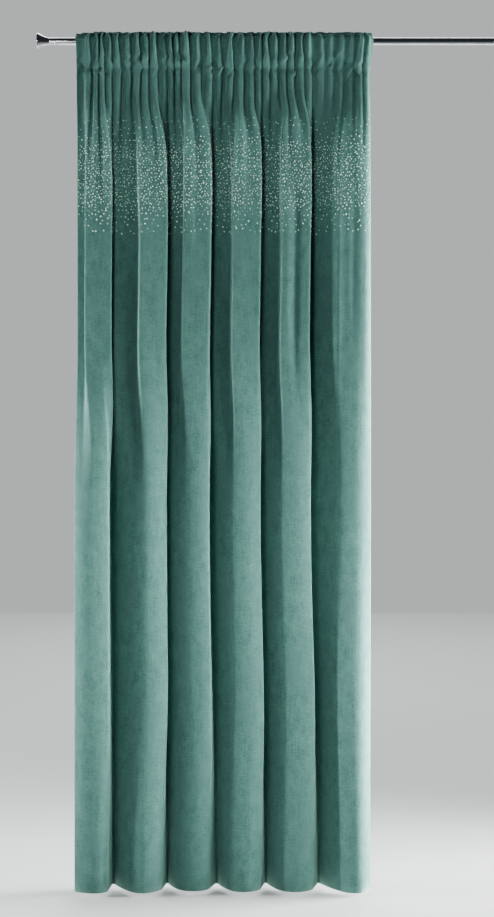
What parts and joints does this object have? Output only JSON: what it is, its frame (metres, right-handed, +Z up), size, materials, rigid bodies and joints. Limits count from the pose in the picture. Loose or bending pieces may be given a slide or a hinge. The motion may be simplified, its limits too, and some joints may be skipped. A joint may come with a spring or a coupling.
{
  "type": "curtain on a rod",
  "caption": "Floor-length velvet curtain, gathered on a round chrome rod by a pocket with an upstanding frill, hanging in deep uneven folds, with flared finials.",
  "frame": {"origin": "on the rod's axis, above the middle of the curtain's width", "axes": "+X along the rod to the viewer's right, +Y away from the viewer towards the wall, +Z up"},
  "size_m": [1.5212, 0.0969, 2.7002],
  "materials": {
    "velvet": "short cut pile, matt with a pale sheen at grazing angles",
    "chrome": "polished chrome plate"
  },
  "bodies": {
    "root": {"curtain": "velvet", "rod": "chrome", "collar_left": "chrome", "collar_right": "chrome", "finial_left": "chrome", "finial_right": "chrome"}
  },
  "joints": []
}
